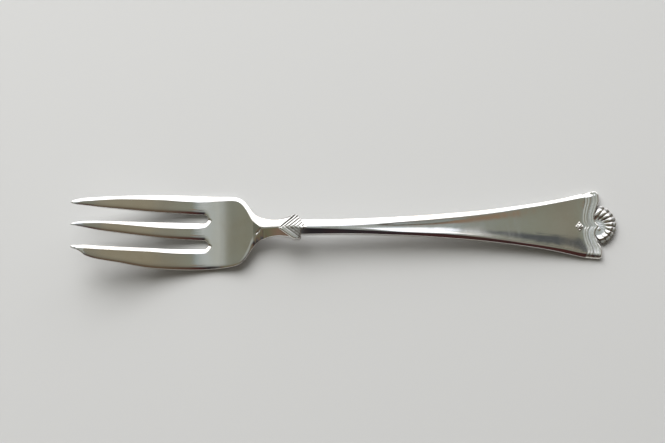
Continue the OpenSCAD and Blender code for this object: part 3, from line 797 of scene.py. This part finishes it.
fine = 1 - shell["fineShare"] * np.arange(shell["fineRows"] + 1)**2 / shell["fineRows"]**2
t = np.sort(np.concatenate([np.arange(shell["rows"]) / shell["rows"], fine]))[:, None]
ribShape = np.abs(np.sin(np.pi * k / shell["lanesPerRib"]))**shell["ribPower"]
angle = np.radians((2 * k / count - 1) * shell["turn"])
reach = shell["width"] / 2
fanX = endX - reach
r = reach * (1 - shell["scallop"] * (1 - ribShape))
# lanes start on the border's outer end, whose place across is found from the ornament's own lanes
lane = np.linspace(-1, 1, shell["startLanes"])
startY = (baseX - fanX) * np.tan(angle)
startX = np.interp(startY, lane * borderHalf - struck(lane), rimX(lane)) - shell["lead"]
x = mix(startX, fanX + r * np.cos(angle), t)
y = mix(startY, r * np.sin(angle), t)
rho = np.hypot(x - fanX, y) / reach
(hollowX, hollowY), (budX, budY) = shell["hollowShift"], shell["budShift"]
fromHollow = np.hypot(x - fanX - hollowX, y - hollowY) / reach
rho = mix(fromHollow, rho, ease(*shell["hollowOver"], rho))
fromBud = np.hypot(x - baseX - budX, y - budY) / shell["budRadius"]
z = edgeTop(x) + shell["crownHeight"] * curve(shell["crown"], rho)
z = z + shell["step"] * ease(0, shell["stepOver"], t)
z = z + shell["ribHeight"] * ribShape * curve(shell["rib"], rho)
z = z + shell["bud"] * np.sqrt(np.maximum(0, 1 - fromBud**2))
deep = back(x, (y / borderHalf)**2 + t * t)
# painted shade between the ribs and on the outer rim
between = (1 - ribShape)**shell["shadePower"] * mix(shell["nearShade"], 1, ease(*shell["shadeTurn"], y))
groove = between * ease(*shell["shadeOver"], rho) + shell["rim"] * ease(*shell["rimOver"], rho)
reliefPiece("shell", x, y, z, deep, groove)

# Floret: a lozenge of low beads on the panel round a broad boss
floret = {
    "steps": 84, "beads": 3, "length": 2.4, "width": 3.0, "gap": 0.45, "shift": 0.5,
    "bead": 0.16, "boss": 0.3, "bossSize": 0.36, "bossBead": 0.5,
    # height of the whole over the panel, which it reaches this far in, and how deep it is let in
    "skirt": 0.06, "skirtOver": 0.15, "proud": 0.01, "sunk": 0.02,
    # painted shade between the beads, and how far in from the edge it comes in
    "shadeMask": 0.5, "shadeOver": (0.1, 0.3),
}
t = steps(floret["steps"])
p, q = t[:, None], t[None, :]
centre = float(waveX(np.array(0.0))) - floret["gap"] - floret["length"] / 2
bead = np.abs(np.sin(np.pi * floret["beads"] * p) * np.sin(np.pi * floret["beads"] * q))
fromMiddle = np.hypot(p - 0.5, q - 0.5) / floret["bossSize"]
boss = np.maximum(0, 1 - fromMiddle**2)
beads = floret["bead"] * bead * mix(1, floret["bossBead"], boss)
rise = beads + floret["boss"] * boss + floret["skirt"]
x = centre + (p - 1 + q) * floret["length"] / 2
y = (q - p) * floret["width"] / 2 - floret["shift"]
skirt = np.minimum(np.minimum(p, 1 - p), np.minimum(q, 1 - q)) * floret["length"]
z = backPanel(x, y) + floret["proud"] + rise * ease(0, floret["skirtOver"], skirt)
# painted shade between the beads, none on the boss
groove = floret["shadeMask"] * (1 - bead)**2 * (1 - boss) * ease(*floret["shadeOver"], skirt)
reliefPiece("floret", x, y, z, backPanel(x, y) - floret["sunk"], groove)
print("pieces made")


# Finishes: polished silver, worn soft, with fine scratches, and painted shade that darkens the grooves of
# the relief and other places where shade falls. Spread and scratch are what the bloom and the scratches
# add to the roughness, and the last number is what the painted shade adds.
finish = {
    # the third colour of each finish is the painted shade's, the metal darkened where shade falls
    "silver": {"bright": (0.90, 0.89, 0.87), "bloom": (0.84, 0.80, 0.74), "shadeTint": (0.30, 0.27, 0.23),
               "roughness": 0.08, "spread": 0.07, "scratch": 0.05, "shadeMask": 0.25},
    "relief": {"bright": (0.89, 0.88, 0.85), "bloom": (0.80, 0.77, 0.70), "shadeTint": (0.16, 0.14, 0.12),
               "roughness": 0.15, "spread": 0.10, "scratch": 0.04, "shadeMask": 0.25},
}

# Wear on both finishes: each pattern is noise of a scale and a detail, per metre
wear = {
    "bloom": (90, 4), "bloomRange": (0.42, 0.68),
    # scratches in three directions: scale, detail, how the noise is drawn out, and its turn
    "scratches": [(900, 3, (0.06, 1, 1), 0.05), (1100, 3, (0.05, 1, 1), 0.6), (800, 2, (1, 0.06, 1), 0.25)],
    "scratchRange": (0.60, 0.80), "scratchBump": 0.05, "scratchDepth": 0.00006,
    # noise that makes the painted shade uneven, and how much is added to it
    "shadeMask": (1500, 2), "shadeMaskMore": 0.35,
    "waves": (160, 2), "waveBump": 0.12, "waveDepth": 0.0004,
}


def addNode(tree, kind, links=None, **values):
    # node with its settings, whose inputs are either linked or given a value
    node = tree.nodes.new(kind)
    for key, value in values.items():
        setattr(node, key, value)
    for socket, value in (links or {}).items():
        if isinstance(value, bpy.types.NodeSocket):
            tree.links.new(value, node.inputs[socket])
        else:
            node.inputs[socket].default_value = value
    return node


def mathNode(tree, operation, a, b=0.0, c=0.0, clamp=False):
    # one sum of up to three values, each a number or an output
    links = {0: a, 1: b, 2: c}
    return addNode(tree, "ShaderNodeMath", links, operation=operation, use_clamp=clamp).outputs[0]


def mapRange(tree, value, ends, **values):
    # 0 at the first end and 1 at the second
    return addNode(tree, "ShaderNodeMapRange", {0: value, 1: ends[0], 2: ends[1]}, **values).outputs[0]


def mixColour(tree, factor, a, b, **values):
    # colour a at factor 0 and b at 1, each an output or a red, green and blue
    a, b = [(*colour, 1) if isinstance(colour, tuple) else colour for colour in (a, b)]
    links = {0: factor, 6: a, 7: b}
    return addNode(tree, "ShaderNodeMix", links, data_type="RGBA", **values).outputs[2]


def silverMaterial(name):
    # metal whose colour and roughness follow the bloom, the scratches and the painted shade in the grooves
    look = finish[name]
    material = bpy.data.materials.new("struck " + name)
    material.use_nodes = True
    tree = material.node_tree
    shader = tree.nodes["Principled BSDF"]
    place = addNode(tree, "ShaderNodeTexCoord").outputs["Object"]

    def noise(scale, detail, drawnOut=(1, 1, 1), turn=0.0):
        # noise on the piece's own coordinates, turned and drawn out
        spot = addNode(tree, "ShaderNodeMapping", {0: place, 2: (0, 0, turn), 3: drawnOut}).outputs[0]
        return addNode(tree, "ShaderNodeTexNoise", {0: spot, 2: scale, 3: detail}).outputs[0]

    bloom = mapRange(tree, noise(*wear["bloom"]), wear["bloomRange"])
    along, slanting, crossing = [noise(*scratch) for scratch in wear["scratches"]]
    hairs = mathNode(tree, "MAXIMUM", mathNode(tree, "MAXIMUM", along, slanting), crossing)
    hairs = mapRange(tree, hairs, wear["scratchRange"])
    # painted shade: each point's attribute, made uneven by noise, mixes in the shade colour and adds
    # roughness
    groove = addNode(tree, "ShaderNodeAttribute", attribute_name="groove").outputs["Fac"]
    uneven = mathNode(tree, "ADD", noise(*wear["shadeMask"]), wear["shadeMaskMore"])
    shadeMask = mathNode(tree, "MULTIPLY", groove, uneven, clamp=True)
    colour = mixColour(tree, bloom, look["bright"], look["bloom"])
    colour = mixColour(tree, shadeMask, colour, look["shadeTint"])
    tree.links.new(colour, shader.inputs["Base Color"])
    rough = mathNode(tree, "MULTIPLY_ADD", bloom, look["spread"], look["roughness"])
    rough = mathNode(tree, "MULTIPLY_ADD", hairs, look["scratch"], rough)
    rough = mathNode(tree, "MULTIPLY_ADD", shadeMask, look["shadeMask"], rough)
    tree.links.new(rough, shader.inputs["Roughness"])
    shader.inputs["Metallic"].default_value = 1.0
    waves = addNode(tree, "ShaderNodeBump", {"Strength": wear["waveBump"], "Distance": wear["waveDepth"],
                                             "Height": noise(*wear["waves"])})
    lines = addNode(tree, "ShaderNodeBump", {"Strength": wear["scratchBump"],
                                             "Distance": wear["scratchDepth"],
                                             "Height": hairs, "Normal": waves.outputs[0]})
    tree.links.new(lines.outputs[0], shader.inputs["Normal"])
    return material


materials = {name: silverMaterial(name) for name in finish}
for name, (piece, slot) in pieces.items():
    piece.data.materials.append(materials[slot])
    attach(piece, "root")
    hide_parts(name)
print("finishes set")

# Studio: pale floor, soft room light that the metal mirrors, and a soft key from the far side
studio = {
    "floorSize": 2.4, "floor": (0.55, 0.55, 0.54), "floorRough": 0.9,
    "keyPower": 9.0, "keySize": 0.7, "keyPlace": (-0.25, 0.55, 0.75),
}
floorMesh = bpy.data.meshes.new("floor")
f = studio["floorSize"] / 2
floorMesh.from_pydata([(-f, -f, 0), (f, -f, 0), (f, f, 0), (-f, f, 0)], [], [(0, 1, 2, 3)])
floor = bpy.data.objects.new("floor", floorMesh)
bpy.context.scene.collection.objects.link(floor)
floorPaint = bpy.data.materials.new("pale floor")
floorPaint.use_nodes = True
floorShader = floorPaint.node_tree.nodes["Principled BSDF"]
floorShader.inputs["Base Color"].default_value = (*studio["floor"], 1)
floorShader.inputs["Roughness"].default_value = studio["floorRough"]
floorMesh.materials.append(floorPaint)

key = bpy.data.lights.new("key", "AREA")
key.energy = studio["keyPower"]
key.size = studio["keySize"]
keyLight = bpy.data.objects.new("key", key)
bpy.context.scene.collection.objects.link(keyLight)
keyLight.location = studio["keyPlace"]
aimX, aimY, aimZ = -np.array(studio["keyPlace"])        # towards the fork
keyTilt = math.atan2(math.hypot(aimX, aimY), -aimZ)
keyLight.rotation_euler = (keyTilt, 0, math.atan2(aimY, aimX) - math.pi / 2)
keyLight.visible_glossy = False

# Room that the metal mirrors: a bright far side, a dim near side where the viewer stands, and a
# ceiling between them. Angles are from overhead, in degrees: along the fork towards the handle, and
# across it towards the far side.
room = {
    "far": (1.75, 1.76, 1.82), "farEdge": (27, 33), "nearEdge": (-30, -8),
    "ceiling": [(-75, (0.13, 0.135, 0.105)), (-58, (0.18, 0.18, 0.14)), (-44, (0.215, 0.22, 0.175)),
                (-36, (0.205, 0.21, 0.17)), (-33, (0.22, 0.226, 0.185)), (-30, (0.25, 0.257, 0.217)),
                (-27, (0.285, 0.295, 0.26)), (-23.5, (0.325, 0.34, 0.31)), (-20, (0.355, 0.373, 0.345)),
                (-12, (0.41, 0.43, 0.40)), (-6, (0.40, 0.425, 0.40)), (4, (0.40, 0.43, 0.42)),
                (10.5, (0.36, 0.39, 0.38)), (14, (0.30, 0.345, 0.34)),
                (16, (0.24, 0.262, 0.245)), (18, (0.22, 0.228, 0.18)),
                (28, (0.225, 0.214, 0.168)), (34, (0.26, 0.235, 0.17)), (50, (0.2, 0.175, 0.14)),
                (66, (0.10, 0.085, 0.085))],
    "near": [(-60, (0.10, 0.085, 0.06)), (-40, (0.19, 0.13, 0.095)), (-30, (0.15, 0.13, 0.085)),
             (-25, (0.13, 0.135, 0.085)), (-19, (0.14, 0.09, 0.065)), (-14, (0.08, 0.085, 0.085)),
             (-6, (0.03, 0.025, 0.025)), (4, (0.020, 0.018, 0.020)), (8, (0.030, 0.02, 0.024)),
             (12, (0.05, 0.02, 0.018)), (18, (0.06, 0.023, 0.02)), (28, (0.11, 0.08, 0.055)),
             (60, (0.10, 0.08, 0.06))],
    # brightness of the ceiling by the angle across
    "bands": [(-12, 0.88), (0, 0.93), (9, 1.0), (22, 1.0), (26, 1.1)],
    # soft patches: angles of the centre, half sizes, colour
    "patches": [((7, 25), (10.5, 10), (1.3, 1.36, 1.5)),
                ((10.5, -1), (4.5, 4.6), (0.075, 0.055, 0.042)),
                ((15.6, 1.5), (3.6, 5), (0.25, 0.165, 0.11)),
                ((22.5, 20.6), (7, 3.3), (0.07, 0.075, 0.078))],
    # a patch fades in between these squares of the distance, in shares of its half sizes
    "patchEdge": (1.1, 0.35),
}
world = bpy.data.worlds.new("room")
bpy.context.scene.world = world
world.use_nodes = True
tree = world.node_tree
tree.nodes.clear()
direction = addNode(tree, "ShaderNodeTexCoord").outputs["Generated"]
split = addNode(tree, "ShaderNodeSeparateXYZ", {0: direction})


def halfTurns(angle):
    # share of a half turn from overhead: 0 and 1 are the two horizons
    return mathNode(tree, "MULTIPLY_ADD", angle, 1 / math.pi, 0.5)


def shareOf(degrees):
    # the same share for an angle in degrees
    return degrees / 180 + 0.5


def angleRamp(share, stops):
    # colour by angle, eased between the stops
    ramp = addNode(tree, "ShaderNodeValToRGB", {0: share})
    ramp.color_ramp.interpolation = "EASE"
    while len(ramp.color_ramp.elements) < len(stops):
        ramp.color_ramp.elements.new(0.5)
    for element, (degrees, colour) in zip(ramp.color_ramp.elements, stops):
        element.position = shareOf(degrees)
        element.color = (*colour, 1) if isinstance(colour, tuple) else (colour, colour, colour, 1)
    return ramp.outputs[0]


def angleStep(share, ends):
    # 0 before the first angle and 1 after the second
    return mapRange(tree, share, [shareOf(end) for end in ends], interpolation_type="SMOOTHSTEP")


def apart(share, middle, size):
    # square of the angle from the middle, in shares of the half size
    turned = mathNode(tree, "MULTIPLY", mathNode(tree, "SUBTRACT", share, shareOf(middle)), 180 / size)
    return mathNode(tree, "MULTIPLY", turned, turned)


alongFork = halfTurns(mathNode(tree, "ARCTAN2", split.outputs[0], split.outputs[2]))
acrossFork = halfTurns(mathNode(tree, "ARCSINE", split.outputs[1]))
ceiling = angleRamp(alongFork, room["ceiling"])
sky = mixColour(tree, 1.0, ceiling, angleRamp(acrossFork, room["bands"]), blend_type="MULTIPLY")
for centre, sizes, colour in room["patches"]:
    distance = mathNode(tree, "ADD", apart(alongFork, centre[0], sizes[0]),
                        apart(acrossFork, centre[1], sizes[1]))
    inside = mapRange(tree, distance, room["patchEdge"], interpolation_type="SMOOTHSTEP")
    sky = mixColour(tree, inside, sky, colour)
sky = mixColour(tree, angleStep(acrossFork, room["nearEdge"]), angleRamp(alongFork, room["near"]), sky)
sky = mixColour(tree, angleStep(acrossFork, room["farEdge"]), sky, room["far"])
background = addNode(tree, "ShaderNodeBackground", {0: sky, 1: 1.0})
addNode(tree, "ShaderNodeOutputWorld", {0: background.outputs[0]})

# Camera: the photo's angle, for a picture 665 pixels wide and 443 high
view = {
    "distance": 456.4, "tilt": 13.0, "roll": 1.14, "target": (-3.76, 2.75, 0.0),
    "lens": 88.5, "sensor": 36.0, "clip": 0.01,
}
tilt, roll = math.radians(view["tilt"]), math.radians(view["roll"])
forward = np.array([0, math.sin(tilt), -math.cos(tilt)])
upright = np.array([0, math.cos(tilt), math.sin(tilt)])
sideways = np.array([1.0, 0, 0])
right = math.cos(roll) * sideways - math.sin(roll) * upright
up = math.sin(roll) * sideways + math.cos(roll) * upright
spot = np.array(view["target"]) - forward * view["distance"]
camera = bpy.data.objects.new("camera", bpy.data.cameras.new("camera"))
camera.data.lens = view["lens"]
camera.data.sensor_width = view["sensor"]
camera.data.clip_start = view["clip"]
bpy.context.scene.collection.objects.link(camera)
columns = np.stack([right, up, -forward, spot * mm], 1)
camera.matrix_world = Matrix([*columns.tolist(), [0, 0, 0, 1]])
bpy.context.scene.camera = camera
bpy.context.scene.view_settings.view_transform = "Standard"
print("studio set")
